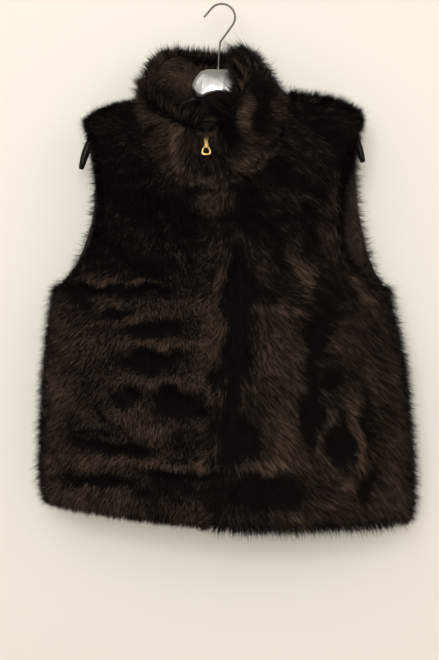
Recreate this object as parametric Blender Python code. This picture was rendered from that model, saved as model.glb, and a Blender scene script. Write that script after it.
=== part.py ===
"""Sleeveless fur body warmer with a stand collar, zipped, hung on a plastic hanger.

Metres, +Z up, +X to the viewer's right, -Y towards the viewer. The origin is the point under the crown of the
hanger's hook where it rests on a rail. The fur walls are as thick as the cloth with its pile. Each panel is a
surface worked out from the tables below, with a second surface a wall's thickness outside it.
"""

import math
from collections import namedtuple

import bmesh
import bpy
import numpy as np

# Cloth: walls, and the gaps between pieces that are sewn together or lie on each other
FUR = 0.012
COLLAR_LINING_FUR = 0.009
LINING = 0.001
LINING_LOOSE = 0.0014
SEAM = 0.00015
LAID = 0.0003
NECK_SEAM = 0.0008

# Level lines of the garment
UNDERARM = -0.412
ARMHOLE_TURN = -0.295
CENTRE_FRONT = -0.022
FRONT_NECK = -0.262
BACK_NECK_DROP = 0.020
NECK_LEFT = -0.113
NECK_RIGHT = 0.091
SHOULDER_TIP = 0.190

# The trunk at each height: half widths from the hanger's axis, and depths before and behind the hanger's plane
Section = namedtuple("Section", "height left right front back")
SECTIONS = (
    Section(-0.760, 0.242, 0.261, 0.064, 0.040),
    Section(-0.690, 0.247, 0.261, 0.066, 0.042),
    Section(-0.570, 0.245, 0.252, 0.065, 0.042),
    Section(-0.500, 0.240, 0.243, 0.062, 0.041),
    Section(-0.425, 0.231, 0.229, 0.057, 0.039),
    Section(-0.330, 0.222, 0.224, 0.051, 0.037),
    Section(-0.230, 0.214, 0.219, 0.046, 0.035),
    Section(-0.120, 0.208, 0.214, 0.043, 0.033),
)
FLATTENING = 0.85

# Cut edges of the armholes, as distances from the axis at each height
Armhole = namedtuple("Armhole", "height front_left back_left front_right back_right")
ARMHOLES = (
    Armhole(-0.412, 0.2290, 0.2290, 0.2277, 0.2277),
    Armhole(-0.390, 0.2080, 0.2180, 0.1890, 0.2220),
    Armhole(-0.355, 0.1840, 0.2030, 0.1670, 0.2120),
    Armhole(-0.315, 0.1740, 0.1900, 0.1620, 0.2020),
    Armhole(-0.270, 0.1740, 0.1850, 0.1680, 0.1970),
    Armhole(-0.225, 0.1800, 0.1860, 0.1790, 0.1945),
    Armhole(-0.178, 0.1900, 0.1900, 0.1900, 0.1900),
)

# Hem line across the front and the back
Hem = namedtuple("Hem", "across front back")
HEMS = (
    Hem(-0.250, -0.713, -0.713),
    Hem(-0.175, -0.723, -0.720),
    Hem(-0.022, -0.741, -0.728),
    Hem(0.140, -0.747, -0.733),
    Hem(0.235, -0.738, -0.731),
    Hem(0.265, -0.729, -0.729),
)

# Top line of the hanger, its lean, and how far the panels fall from the shoulder before they hang straight
Rise = namedtuple("Rise", "reach height")
HANGER_LINE = (
    Rise(0.000, -0.1180),
    Rise(0.040, -0.1290),
    Rise(0.075, -0.1425),
    Rise(0.105, -0.1500),
    Rise(0.135, -0.1545),
    Rise(0.160, -0.1600),
    Rise(0.180, -0.1700),
    Rise(0.196, -0.1900),
    Rise(0.206, -0.2150),
    Rise(0.2105, -0.2320),
)
HANGER_TILT = 0.024
HANGER_CLEAR = 0.0021
NECK_RIDGE = -0.146
FRONT_FALL = 0.115
BACK_FALL = 0.062
RIDGE_ROUND = 0.016

# Ridges of cloth on the two fronts: middle, lean from level in degrees, half length, half width and height
Fold = namedtuple("Fold", "across height lean length width rise")
FOLDS = (
    Fold(-0.150, -0.395, -2, 0.060, 0.013, 0.005),
    Fold(-0.115, -0.440, 4, 0.055, 0.016, 0.006),
    Fold(-0.090, -0.487, -4, 0.060, 0.015, 0.007),
    Fold(-0.075, -0.541, 3, 0.060, 0.016, 0.007),
    Fold(-0.120, -0.592, -6, 0.055, 0.015, 0.006),
    Fold(-0.150, -0.633, -4, 0.070, 0.012, 0.006),
    Fold(-0.125, -0.665, -6, 0.090, 0.013, 0.007),
    Fold(-0.170, -0.700, 3, 0.060, 0.014, 0.005),
    Fold(-0.008, -0.560, 90, 0.170, 0.013, 0.006),
    Fold(0.080, -0.560, 84, 0.110, 0.024, 0.011),
    Fold(0.118, -0.385, 92, 0.070, 0.018, 0.008),
    Fold(0.160, -0.585, 62, 0.045, 0.014, 0.007),
    Fold(0.200, -0.615, 98, 0.050, 0.014, 0.008),
    Fold(0.168, -0.470, 70, 0.050, 0.017, 0.006),
    Fold(0.128, -0.312, -35, 0.045, 0.013, 0.005),
    Fold(0.235, -0.560, 88, 0.090, 0.014, 0.005),
    Fold(0.070, -0.715, 2, 0.070, 0.014, 0.004),
)
FOLD_FADE = 0.030

# Collar's upper edge from the zip round by the left, the back and the right, slumped to the left
Rim = namedtuple("Rim", "station x y z")
COLLAR_RIM = (
    Rim(0.00, -0.0262, -0.0600, -0.1900),
    Rim(0.10, -0.0620, -0.0570, -0.1745),
    Rim(0.20, -0.0940, -0.0380, -0.1480),
    Rim(0.29, -0.1050, -0.0080, -0.1190),
    Rim(0.38, -0.0910, 0.0240, -0.0730),
    Rim(0.50, -0.0270, 0.0360, -0.0720),
    Rim(0.62, 0.0220, 0.0270, -0.0740),
    Rim(0.69, 0.0370, 0.0020, -0.0720),
    Rim(0.80, 0.0270, -0.0300, -0.1080),
    Rim(0.90, 0.0200, -0.0510, -0.1500),
    Rim(1.00, -0.0178, -0.0600, -0.1900),
)
COLLAR_SWELL = 0.05
INNER_COLLAR_LEVEL = 2
MITRE_REACH = 0.032

# Zip, with the fur parted and pressed flat round its slider
ZIP_GAP = 0.0042
FUR_GAP = 0.0003
TAPE = 0.0008
TAPE_SHARE = 0.45
TAPE_LOOSE = 0.0010
CHAIN_HALF = 0.0028
CHAIN_FRONT = 0.0016
SLIDER_HEIGHT = -0.2060
SLIDER_OPENING = 0.0065
SLIDER_REACH = 0.016
PRESSED_SHARE = 0.45
PRESSED_REACH = 0.026
SLIDER_SIZE = (0.0080, 0.0044, 0.0096)
BAIL_RADIUS = 0.0019
BAIL_WIRE = 0.0006
AXIS_CLEAR = 0.0013

# Pull: half widths of its outline and of its windows at each drop below the axis
Outline = namedtuple("Outline", "drop half_width")
PULL_OUTLINE = (
    Outline(-0.0007, 0.0026),
    Outline(0.0050, 0.0027),
    Outline(0.0105, 0.0042),
    Outline(0.0160, 0.0064),
    Outline(0.0185, 0.0067),
    Outline(0.0205, 0.0060),
    Outline(0.0218, 0.0036),
)
BAIL_WINDOW = (Outline(0.0007, 0.0014), Outline(0.0040, 0.0014))
PULL_WINDOW = (
    Outline(0.0118, 0.0022),
    Outline(0.0162, 0.0044),
    Outline(0.0182, 0.0046),
    Outline(0.0196, 0.0026),
)
PULL_THICK = 0.0014

# Hanger
ARM_RADIUS = 0.0062
ARM_DEPTH = 1.1
ARM_START = 0.030
PLATE_AXIS = -0.0050
PLATE_HALF_DEPTH = 0.0130
PLATE_ROUND = 0.0045
PLATE_OUTLINE = (
    Rise(0.0000, -0.0955),
    Rise(0.0170, -0.0955),
    Rise(0.0255, -0.0985),
    Rise(0.0335, -0.1075),
    Rise(0.0395, -0.1185),
    Rise(0.0395, -0.1255),
    Rise(0.0340, -0.1335),
    Rise(0.0260, -0.1385),
    Rise(0.0130, -0.1335),
    Rise(0.0000, -0.1310),
)
HOOK_WIRE = 0.0016
HOOK_RADIUS = 0.0195
HOOK_ACROSS = -0.0005
HOOK_ARC = (-36, 140)
HOOK_TIP = 0.017
HOOK_LEAN = 0.031
FERRULE = (0.0034, 0.006)

# Grid of each panel: rows below the underarm, rows up to the neck point, then shares of the way to the shoulder
FRONT_COLUMNS = 14
FRONT_ROWS = (17, 6)
SHOULDER_STEPS = (0, 0.1, 0.2, 0.3, 0.4, 0.5, 0.6, 0.7, 0.8, 0.88, 0.94, 0.98, 1)
LINING_COLUMNS = 14
LINING_ROWS = (6, 6)
LINING_STEPS = (0, 0.2, 0.4, 0.6, 0.8, 0.94, 0.98, 1)
LINING_INSET = 0.017
LINING_RISE = 0.014
BACK_COLUMNS = (6, 10)
BACK_ROWS = 12
BACK_STEPS = (0, 0.12, 0.24, 0.36, 0.48, 0.6, 0.72, 0.82, 0.9, 0.95, 0.985, 1)
BACK_LINING_COLUMNS = (6, 6)
BACK_LINING_ROWS = 6
BACK_LINING_STEPS = (0, 0.24, 0.48, 0.72, 0.9, 0.96, 0.985, 1)
COLLAR_LEVELS = 8

for old in list(bpy.data.objects):
    bpy.data.objects.remove(old, do_unlink=True)
collection = bpy.data.collections.new("fur_body_warmer_on_hanger")
bpy.context.scene.collection.children.link(collection)


def through(knots, values):
    """A smooth curve through the values at the knots."""
    knots = np.array(knots, float)
    values = np.array(values, float)
    slopes = np.gradient(values, knots)

    def at(places):
        places = np.clip(places, knots[0], knots[-1])
        i = np.clip(np.searchsorted(knots, places) - 1, 0, len(knots) - 2)
        span = knots[i + 1] - knots[i]
        s = (places - knots[i]) / span
        from_left = (1 + 2 * s) * (1 - s) ** 2 * values[i] + s * (1 - s) ** 2 * span * slopes[i]
        from_right = s * s * (3 - 2 * s) * values[i + 1] + s * s * (s - 1) * span * slopes[i + 1]
        return from_left + from_right

    return at


def column(rows, key, name):
    """The named column of a table as a smooth curve over its key column."""
    return through([getattr(row, key) for row in rows], [getattr(row, name) for row in rows])


def unit(vectors):
    return vectors / np.linalg.norm(vectors, axis=-1, keepdims=True)


def flat_in(vectors, axis):
    """The vectors with one component dropped, so that the two sides of a seam share them."""
    kept = vectors.copy()
    kept[..., axis] = 0
    return unit(kept)


def normals(points, middle_towards):
    """Normals of a grid of points, facing the given way at its middle."""
    found = unit(np.cross(np.gradient(points, axis=1), np.gradient(points, axis=0)))
    middle = found[found.shape[0] // 2, found.shape[1] // 2]
    return found if np.dot(middle, middle_towards) > 0 else -found


trunk_left = column(SECTIONS, "height", "left")
trunk_right = column(SECTIONS, "height", "right")
trunk_front = column(SECTIONS, "height", "front")
trunk_back = column(SECTIONS, "height", "back")
hem_front = column(HEMS, "across", "front")
hem_back = column(HEMS, "across", "back")
hanger_rise = column(HANGER_LINE, "reach", "height")


def hanger_top(x):
    """Height of the hanger's upper edge."""
    return hanger_rise(np.abs(x)) + HANGER_TILT * np.asarray(x)


def ridge(x):
    """Height of the line that front and back fall from: the shoulder seams, and nearly level across the neck."""
    x = np.asarray(x, float)
    neck = np.where(x < 0, NECK_LEFT, NECK_RIGHT)
    over = np.where(np.abs(x) < np.abs(neck), neck, x)
    slope = (hanger_top(over + 0.001) - hanger_top(over - 0.001)) / 0.002
    shoulder = hanger_top(over) + (LINING + LINING_LOOSE + HANGER_CLEAR) * np.sqrt(1 + slope**2)
    inside = np.clip(1 - np.abs(x) / np.abs(neck), 0, 1)
    return shoulder + (NECK_RIDGE - shoulder) * inside


def half_width(z, x):
    """Half width of the trunk on the side of x."""
    return np.where(x < 0, trunk_left(z), trunk_right(z))


def trunk_point(x, z, facing):
    """Points of the cloth's inner face at x and z, on the front (-1) or the back (1)."""
    across = np.clip(x / half_width(z, x), -1, 1)
    depth = (trunk_front(z) if facing < 0 else trunk_back(z)) * np.sqrt(1 - across**2) ** FLATTENING
    fall = np.minimum(FRONT_FALL if facing < 0 else BACK_FALL, np.maximum(depth, 0.004) ** 2 / RIDGE_ROUND)
    drop = np.clip((ridge(x) - z) / fall, 0, 1)
    y = facing * (SEAM + depth * np.sqrt(1 - (1 - drop) ** 2))
    return np.stack([x, y, z], axis=-1)


def fold_rise(x, z):
    """How far the folds lift the cloth of the fronts."""
    total = np.zeros(np.shape(x))
    for fold in FOLDS:
        lean = math.radians(fold.lean)
        along = (x - fold.across) * math.cos(lean) + (z - fold.height) * math.sin(lean)
        over = (z - fold.height) * math.cos(lean) - (x - fold.across) * math.sin(lean)
        total += fold.rise * np.exp(-((along / fold.length) ** 4) - (over / fold.width) ** 2)
    return total


def front_grid(side, columns, rows, steps, inset, hem_rise):
    """Grid of x and z over a front, from the zip to the side and from the hem to the shoulder."""
    edge = column(ARMHOLES, "height", "front_left" if side < 0 else "front_right")
    zip_x = CENTRE_FRONT + side * inset
    neck = NECK_LEFT if side < 0 else NECK_RIGHT
    neck_z = float(ridge(neck))
    tip = side * SHOULDER_TIP
    tip_z = float(ridge(tip))
    u = np.linspace(0, 1, columns + 1)
    xs = []
    zs = []
    for t in np.linspace(0, 1, rows[0] + 1):
        low = hem_front(side * trunk_right(UNDERARM) * np.sin(u * math.pi / 2)) + hem_rise
        low[-1] = hem_front(side) + hem_rise
        z = low * (1 - t) + UNDERARM * t
        wide = side * half_width(z, side)
        start = np.arcsin(zip_x / wide)
        xs.append(wide * np.sin(start + (math.pi / 2 - start) * u))
        zs.append(z)
    ends = []
    for t in np.linspace(0, 1, rows[1], endpoint=False)[1:]:
        z = UNDERARM + (ARMHOLE_TURN - UNDERARM) * t**1.6
        ends.append((zip_x, UNDERARM * (1 - t) + FRONT_NECK * t, side * float(edge(z)), z, 0.0))
    for t in steps:
        turn = t * math.pi / 2
        z = ARMHOLE_TURN * (1 - t) + tip_z * t
        neck_x = zip_x + (neck - zip_x) * math.sin(turn)
        up = FRONT_NECK + (neck_z - FRONT_NECK) * (1 - math.cos(turn))
        ends.append((neck_x, up, side * float(edge(z)), z, t))
    for x0, z0, x1, z1, t in ends:
        z = z0 + (z1 - z0) * u
        wide = side * half_width(z, side)
        start = np.arcsin(np.clip(x0 / wide[0], -1, 1))
        end = np.arcsin(np.clip(x1 / wide[-1], -1, 1))
        x = wide * np.sin(start + (end - start) * u) * (1 - t) + (x0 + (x1 - x0) * u) * t
        x[0] = x0
        x[-1] = x1
        bow = ridge(x) - ridge(x0) - (ridge(x1) - ridge(x0)) * u
        xs.append(x)
        zs.append(z + bow * t**3)
    xs[-1] = neck + (tip - neck) * u
    zs[-1] = ridge(xs[-1])
    return np.array(xs), np.array(zs)


def back_grid(columns, rows, steps, hem_rise):
    """Grid of x and z over the back, from left to right and from the hem to shoulders and neck."""
    left_edge = column(ARMHOLES, "height", "back_left")
    right_edge = column(ARMHOLES, "height", "back_right")
    turn = np.linspace(-1, 1, columns[1] + 1) * math.pi / 2
    neck_x = (NECK_LEFT + NECK_RIGHT) / 2 + (NECK_RIGHT - NECK_LEFT) / 2 * np.sin(turn)
    neck_z = ridge(neck_x) - BACK_NECK_DROP * np.cos(turn)
    left_x = np.linspace(-SHOULDER_TIP, NECK_LEFT, columns[0], endpoint=False)
    right_x = np.linspace(SHOULDER_TIP, NECK_RIGHT, columns[0], endpoint=False)[::-1]
    top_x = np.concatenate([left_x, neck_x, right_x])
    top_z = np.concatenate([ridge(left_x), neck_z, ridge(right_x)])
    angle = np.linspace(-1, 1, len(top_x)) * math.pi / 2
    xs = []
    zs = []
    hem = hem_back(np.sin(angle) * trunk_right(UNDERARM)) + hem_rise
    hem[[0, -1]] = hem_back(np.array([-1, 1])) + hem_rise
    for t in np.linspace(0, 1, rows + 1):
        z = hem * (1 - t) + UNDERARM * t
        xs.append(np.sin(angle) * half_width(z, angle))
        zs.append(z)
    low = (1 + np.sin(angle)) / 2
    high = (top_x + SHOULDER_TIP) / (2 * SHOULDER_TIP)
    for t in steps[1:]:
        z = UNDERARM + (top_z - UNDERARM) * t
        left = -float(left_edge(z[0]))
        right = float(right_edge(z[-1]))
        xs.append(left + (right - left) * (low * (1 - t) + high * t))
        zs.append(z)
    xs[-1] = top_x
    zs[-1] = top_z
    return np.array(xs), np.array(zs)


def front_normals(points, rows):
    """Normals of a front, shared with the back along the shoulder and the side."""
    facing = normals(points, (0, -1, 0))
    facing[-1] = flat_in(facing[-1], 1)
    facing[: rows[0] + 1, -1] = flat_in(facing[: rows[0] + 1, -1], 1)
    return facing


def back_normals(points, columns, rows):
    """Normals of the back, shared with the fronts along the shoulders and the sides."""
    facing = normals(points, (0, 1, 0))
    count = points.shape[1]
    shoulders = list(range(columns[0] + 1)) + list(range(count - columns[0] - 1, count))
    facing[-1, shoulders] = flat_in(facing[-1, shoulders], 1)
    for edge in (0, -1):
        facing[: rows + 1, edge] = flat_in(facing[: rows + 1, edge], 1)
    return facing


def folded_front(points, facing):
    """A front lifted by its folds, which die out towards its seams."""
    from_side = np.linalg.norm(points - points[:, -1:], axis=2)
    from_top = np.linalg.norm(points - points[-1:], axis=2)
    fade = np.clip(np.minimum(from_side, from_top) / FOLD_FADE, 0, 1)
    return points + facing * (fold_rise(points[..., 0], points[..., 2]) * fade)[..., None]


def pile(points, facing):
    """Outer face of a fur panel, the pile lower where it turns over the hem."""
    share = np.ones(points.shape[:2])
    share[0] = 0.62
    share[1] = 0.95
    return points + facing * (FUR * share)[..., None]


def mitred(outer, points, seam, shift, upward):
    """The outer face drawn away from the neck seam, to leave room for the collar's fur."""
    apart = np.linalg.norm(points[:, :, None] - seam, axis=3)
    nearest = np.argmin(apart, axis=2)
    apart = np.min(apart, axis=2)
    drawn = outer + shift[nearest] * np.clip(1 - apart / MITRE_REACH, 0, 1)[..., None]
    above = np.sum((drawn - seam[nearest]) * upward[nearest], axis=2) + 0.25 * apart
    return drawn - upward[nearest] * (np.maximum(0, above) * (apart < MITRE_REACH))[..., None]


def slider_share(points, reach):
    """1 at the zip's slider, falling to 0 at the given reach from it."""
    apart = np.hypot(points[..., 0] - CENTRE_FRONT, points[..., 2] - SLIDER_HEIGHT)
    return np.exp(-((apart / reach) ** 4)) * (points[..., 1] < 0)


def finish(name, mesh, material):
    """The bmesh as an object of the collection."""
    data = bpy.data.meshes.new(name)
    mesh.to_mesh(data)
    mesh.free()
    item = bpy.data.objects.new(name, data)
    data.materials.append(material)
    collection.objects.link(item)
    return item


def cloth(name, inner, outer, material):
    """A wall of cloth between two grids of points, closed round its edge."""
    rows, columns = inner.shape[:2]
    mesh = bmesh.new()
    sheets = []
    for points in (inner, outer):
        grid = bmesh.ops.create_grid(mesh, x_segments=columns - 1, y_segments=rows - 1, size=1.0)
        for vertex, place in zip(grid["verts"], points.reshape(-1, 3)):
            vertex.co = place
        sheets.append(grid["verts"])
    loop = [(0, c) for c in range(columns)] + [(r, columns - 1) for r in range(1, rows)]
    loop += [(rows - 1, c) for c in range(columns - 2, -1, -1)] + [(r, 0) for r in range(rows - 2, 0, -1)]
    for (r0, c0), (r1, c1) in zip(loop, loop[1:] + loop[:1]):
        a = r0 * columns + c0
        b = r1 * columns + c1
        mesh.faces.new((sheets[0][a], sheets[0][b], sheets[1][b], sheets[1][a]))
    bmesh.ops.triangulate(mesh, faces=mesh.faces, quad_method="SHORT_EDGE")
    bmesh.ops.recalc_face_normals(mesh, faces=mesh.faces)
    return finish(name, mesh, material)


def swept(name, points, radii, wire, material, roundness=2):
    """A round bar along the points, as a curve made into a mesh."""
    path = bpy.data.curves.new(name, "CURVE")
    path.dimensions = "3D"
    path.bevel_depth = wire
    path.bevel_resolution = roundness
    path.use_fill_caps = True
    line = path.splines.new("POLY")
    line.points.add(len(points) - 1)
    for place, point, radius in zip(line.points, points, radii):
        place.co = (*point, 1)
        place.radius = radius
    drawn = bpy.data.objects.new(name + "_path", path)
    collection.objects.link(drawn)
    bpy.context.view_layer.update()
    data = bpy.data.meshes.new_from_object(drawn.evaluated_get(bpy.context.evaluated_depsgraph_get()))
    bpy.data.objects.remove(drawn)
    bpy.data.curves.remove(path)
    mesh = bmesh.new()
    mesh.from_mesh(data)
    bpy.data.meshes.remove(data)
    bmesh.ops.remove_doubles(mesh, verts=mesh.verts, dist=1e-6)
    bmesh.ops.recalc_face_normals(mesh, faces=mesh.faces)
    return finish(name, mesh, material)


def slab(name, outline, low, high, material, rounding=0.0, steps=2):
    """A flat body between two depths, from an outline of (x, z) points, its rims rounded."""
    mesh = bmesh.new()
    face = mesh.faces.new([mesh.verts.new((x, low, z)) for x, z in outline])
    grown = bmesh.ops.extrude_face_region(mesh, geom=[face])
    moved = [v for v in grown["geom"] if isinstance(v, bmesh.types.BMVert)]
    bmesh.ops.translate(mesh, verts=moved, vec=(0, high - low, 0))
    if rounding:
        rims = [e for e in mesh.edges if abs(e.verts[0].co.y - e.verts[1].co.y) < 1e-6]
        bmesh.ops.bevel(mesh, geom=rims, offset=rounding, segments=steps, profile=0.5, affect="EDGES")
    bmesh.ops.recalc_face_normals(mesh, faces=mesh.faces)
    return finish(name, mesh, material)


def cut(item, tool, operation="DIFFERENCE"):
    """The item less the tool, or joined to it; the tool isn't part of the object."""
    change = item.modifiers.new("cut", "BOOLEAN")
    change.operation = operation
    change.object = tool
    change.solver = "EXACT"
    tool.hide_render = True
    tool.display_type = "WIRE"


def colour(name, rgb, metal=0.0, rough=0.5):
    made = bpy.data.materials.new(name)
    made.use_nodes = True
    shader = made.node_tree.nodes["Principled BSDF"]
    shader.inputs["Base Color"].default_value = (*rgb, 1)
    shader.inputs["Metallic"].default_value = metal
    shader.inputs["Roughness"].default_value = rough
    return made


fur_brown = colour("fur", (0.012, 0.008, 0.006), rough=0.8)
satin = colour("lining", (0.02, 0.018, 0.017), rough=0.35)
tape_black = colour("tape", (0.015, 0.013, 0.012), rough=0.7)
coil_brown = colour("coil", (0.012, 0.009, 0.008), rough=0.5)
gilt = colour("gilt", (0.75, 0.5, 0.18), metal=1.0, rough=0.25)
plastic = colour("plastic", (0.008, 0.008, 0.008), rough=0.15)
silver = colour("silver", (0.8, 0.8, 0.8), metal=1.0, rough=0.15)
steel = colour("steel", (0.35, 0.32, 0.29), metal=1.0, rough=0.35)

# Inner faces of the fur panels, rows from the hem up
front = {}
for side in (-1, 1):
    x, z = front_grid(side, FRONT_COLUMNS, FRONT_ROWS, SHOULDER_STEPS, ZIP_GAP, 0)
    plain = trunk_point(x, z, -1)
    base = folded_front(plain, front_normals(plain, FRONT_ROWS))
    facing = front_normals(base, FRONT_ROWS)
    facing[: sum(FRONT_ROWS) + 1, 0] = flat_in(facing[: sum(FRONT_ROWS) + 1, 0], 0)
    front[side] = (base, facing)
x, z = back_grid(BACK_COLUMNS, BACK_ROWS, BACK_STEPS, 0)
back_base = trunk_point(x, z, 1)
back_facing = back_normals(back_base, BACK_COLUMNS, BACK_ROWS)

# Neckline from the zip round by the left, the back and the right, and the collar's middle face that stands on it
in_front = slice(sum(FRONT_ROWS), None)
in_back = slice(BACK_COLUMNS[0] + 1, BACK_COLUMNS[0] + BACK_COLUMNS[1])
neckline = np.concatenate([front[-1][0][in_front, 0], back_base[-1, in_back], front[1][0][in_front, 0][::-1]])
neck_facing = np.concatenate([front[-1][1][in_front, 0], back_facing[-1, in_back], front[1][1][in_front, 0][::-1]])
left_neck = len(SHOULDER_STEPS) - 1
right_neck = len(neckline) - len(SHOULDER_STEPS)
apart = np.linalg.norm(np.diff(neckline, axis=0), axis=1)
station = np.concatenate([[0], np.cumsum(apart)]) / apart.sum()
rim = np.stack([column(COLLAR_RIM, "station", axis)(station) for axis in "xyz"], axis=1)


def collar_middle(levels):
    """The face between the two furs of the collar, stations round the neck by levels up."""
    up = levels[None, :, None]
    swell = flat_in(neck_facing + 1e-9, 2) * np.linalg.norm(rim - neckline, axis=1)[:, None]
    swell *= COLLAR_SWELL * np.sqrt(np.abs(np.sin(math.pi * station)))[:, None]
    return neckline[:, None] * (1 - up) + rim[:, None] * up + np.sin(math.pi * up) * swell[:, None]


def collar_normals(middle):
    facing = normals(middle, (0, 1, 0))
    facing[[0, -1]] = flat_in(facing[[0, -1]], 0)
    return facing


levels = np.linspace(0, 1, COLLAR_LEVELS + 1)
collar = collar_middle(levels)
collar_facing = collar_normals(collar)
collar_facing[[left_neck, right_neck], 0] = flat_in(collar_facing[[left_neck, right_neck], 0], 1)

# Furs of collar and panels share a mitre along the neck seam
joint = neck_facing + collar_facing[:, 0]
joint = FUR * joint / (1 + np.sum(neck_facing * collar_facing[:, 0], axis=1))[:, None]
along = unit(np.gradient(neckline, axis=0))
away = unit(np.cross(along, joint))
away *= np.sign(np.sum(away * (collar[:, 1] - collar[:, 0]), axis=1))[:, None]

# Fronts: the fur leans over the zip from each side
for side, name in ((-1, "front_left"), (1, "front_right")):
    base, facing = front[side]
    count = len(SHOULDER_STEPS)
    picked = slice(0, count) if side < 0 else slice(len(neckline) - count, None)
    order = slice(None) if side < 0 else slice(None, None, -1)
    shift = (joint[picked] - FUR * neck_facing[picked])[order]
    outer = mitred(pile(base, facing), base, neckline[picked][order], shift, away[picked][order])
    outer[in_front, 0] = base[in_front, 0] + joint[picked][order]
    outer[-1, :, 1] = base[-1, :, 1]
    outer[: sum(FRONT_ROWS) + 1, 0, 0] = CENTRE_FRONT + side * FUR_GAP
    cloth(name, base, outer, fur_brown)

# Back
picked = slice(left_neck, right_neck + 1)
shift = joint[picked] - FUR * neck_facing[picked]
outer = mitred(pile(back_base, back_facing), back_base, neckline[picked], shift, away[picked])
outer[-1, BACK_COLUMNS[0] : BACK_COLUMNS[0] + BACK_COLUMNS[1] + 1] = neckline[picked] + joint[picked]
count = back_base.shape[1]
on_shoulders = list(range(BACK_COLUMNS[0] + 1)) + list(range(count - BACK_COLUMNS[0] - 1, count))
outer[-1, on_shoulders, 1] = back_base[-1, on_shoulders, 1]
cloth("back", back_base, outer, fur_brown)

# Collar's outer fur, parted round the slider and pressed flat under the pull
inner = collar + collar_facing * SEAM
share = 1 - (1 - PRESSED_SHARE) * slider_share(collar - (0, 0, -0.008), PRESSED_REACH)
share[:, -1] *= 0.62
share[:, -2] *= 0.95
rising = np.linalg.norm(collar - collar[:, :1], axis=2)
drawn = (joint - FUR * collar_facing[:, 0])[:, None] * np.clip(1 - rising / MITRE_REACH, 0, 1)[..., None]
outer = collar + collar_facing * (FUR * share)[..., None] + drawn
above = np.sum((outer - neckline[:, None]) * away[:, None], axis=2)
outer += away[:, None] * np.maximum(0, 0.2 * rising + NECK_SEAM - above)[..., None]
inner[:, 0] = neckline + away * NECK_SEAM
outer[:, 0] = neckline + joint + away * NECK_SEAM
for edge, side in ((0, -1), (-1, 1)):
    parted = SLIDER_OPENING * slider_share(collar[edge], SLIDER_REACH)
    inner[edge, :, 0] = CENTRE_FRONT + side * np.maximum(ZIP_GAP, parted)
    outer[edge, :, 0] = CENTRE_FRONT + side * np.maximum(FUR_GAP, parted)
cloth("collar_outer", inner, outer, fur_brown)

# Collar's inner fur, which starts above the hanger's arms and stops short of the zip
middle = collar[1:-1, INNER_COLLAR_LEVEL:]
facing = collar_facing[1:-1, INNER_COLLAR_LEVEL:]
share = np.ones(middle.shape[:2])
share[:, 0] = 0.4
share[:, -1] = 0.6
cloth("collar_inner", middle - facing * (COLLAR_LINING_FUR * share)[..., None], middle - facing * SEAM, fur_brown)

# Lining, inside the plain shape that the folds stand out from
for side, name in ((-1, "lining_front_left"), (1, "lining_front_right")):
    x, z = front_grid(side, LINING_COLUMNS, LINING_ROWS, LINING_STEPS, LINING_INSET, LINING_RISE)
    plain = trunk_point(x, z, -1)
    facing = front_normals(plain, LINING_ROWS)
    cloth(name, plain - facing * (LINING_LOOSE + LINING), plain - facing * LINING_LOOSE, satin)
x, z = back_grid(BACK_LINING_COLUMNS, BACK_LINING_ROWS, BACK_LINING_STEPS, LINING_RISE)
plain = trunk_point(x, z, 1)
facing = back_normals(plain, BACK_LINING_COLUMNS, BACK_LINING_ROWS)
cloth("lining_back", plain - facing * (LINING_LOOSE + LINING), plain - facing * LINING_LOOSE, satin)

# Zip: tapes behind the edges of fronts and collar, and the chain between them
for side, name, edge, beside in ((-1, "zip_tape_left", 0, 1), (1, "zip_tape_right", -1, -2)):
    rows = slice(1, sum(FRONT_ROWS))
    sewn = np.concatenate([front[side][0][rows, 0], collar[edge, :-1]])
    panel = np.concatenate([front[side][0][rows, 1], collar[beside, :-1]])
    slope = unit(np.gradient(sewn, axis=0))
    forward = np.stack([np.zeros(len(sewn)), -slope[:, 2], slope[:, 1]], axis=1)
    free = sewn - (side * (ZIP_GAP - CHAIN_HALF - LAID), 0, 0)
    hidden = sewn + (panel - sewn) * TAPE_SHARE
    tape = np.stack([free, sewn, hidden], axis=1)
    cloth(name, tape - forward[:, None] * (TAPE_LOOSE + TAPE), tape - forward[:, None] * TAPE_LOOSE, tape_black)
line = sewn.copy()
line[:, 0] = CENTRE_FRONT
across = np.array([[-CHAIN_HALF, 0, 0], [CHAIN_HALF, 0, 0]])
chain = line[:, None] + across
cloth("zip_chain", chain - forward[:, None] * (TAPE_LOOSE + TAPE), chain + forward[:, None] * CHAIN_FRONT, coil_brown)

# Slider on the chain, with the bail that the pull hangs from
place = np.array([np.interp(SLIDER_HEIGHT, line[:, 2], line[:, k]) for k in range(3)])
slider_back = place[1] - CHAIN_FRONT - 0.0008
slider_front = slider_back - SLIDER_SIZE[1]
axis_y = slider_front - AXIS_CLEAR
half_x = SLIDER_SIZE[0] / 2
half_z = SLIDER_SIZE[2] / 2
low_z = SLIDER_HEIGHT - half_z
high_z = SLIDER_HEIGHT + half_z
outline = (
    (CENTRE_FRONT - half_x, high_z),
    (CENTRE_FRONT + half_x, high_z),
    (CENTRE_FRONT + half_x * 0.62, low_z),
    (CENTRE_FRONT - half_x * 0.62, low_z),
)
slider = slab("zip_slider", outline, slider_front, slider_back, gilt, rounding=0.0008, steps=1)
turns = [math.radians(a) for a in range(-90, 91, 15)]
arch = [(CENTRE_FRONT, axis_y - BAIL_RADIUS * math.cos(a), SLIDER_HEIGHT + BAIL_RADIUS * math.sin(a)) for a in turns]
rooted = [(CENTRE_FRONT, slider_front + 0.001, SLIDER_HEIGHT + end * BAIL_RADIUS) for end in (-1, 1)]
arch = rooted[:1] + arch + rooted[1:]
cut(slider, swept("bail_tool", arch, [1] * len(arch), BAIL_WIRE, gilt), "UNION")


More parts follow.
